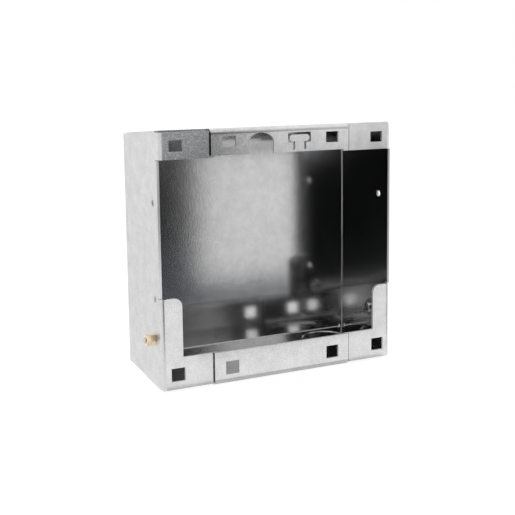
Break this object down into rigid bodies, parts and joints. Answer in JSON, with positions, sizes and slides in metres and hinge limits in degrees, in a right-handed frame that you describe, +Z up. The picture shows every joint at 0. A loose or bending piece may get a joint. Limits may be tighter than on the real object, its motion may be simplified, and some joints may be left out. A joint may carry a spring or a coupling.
{
  "type": "flush back box",
  "caption": "Open-fronted folded sheet-steel back box with turned-in front flanges, square fixing holes, an arched cable notch and brass earth terminals.",
  "frame": {"origin": "middle of the bounding box's underside", "axes": "+Z up, open front towards -Y, width along X"},
  "size_m": [0.1908, 0.0676, 0.1706],
  "materials": {
    "zinc_sheet": "bright zinc coat",
    "zinc_hardware": "zinc-plated screws and washers",
    "brass": "turned, slightly dulled"
  },
  "bodies": {
    "root": {"folded_box": "zinc_sheet", "earth_screw_left": "zinc_hardware", "earth_washer_left": "zinc_hardware", "earth_nut_left": "brass", "earth_lock_nut_left": "brass", "earth_screw_right": "zinc_hardware", "earth_washer_right": "zinc_hardware", "earth_nut_right": "brass", "earth_lock_nut_right": "brass"}
  },
  "joints": []
}
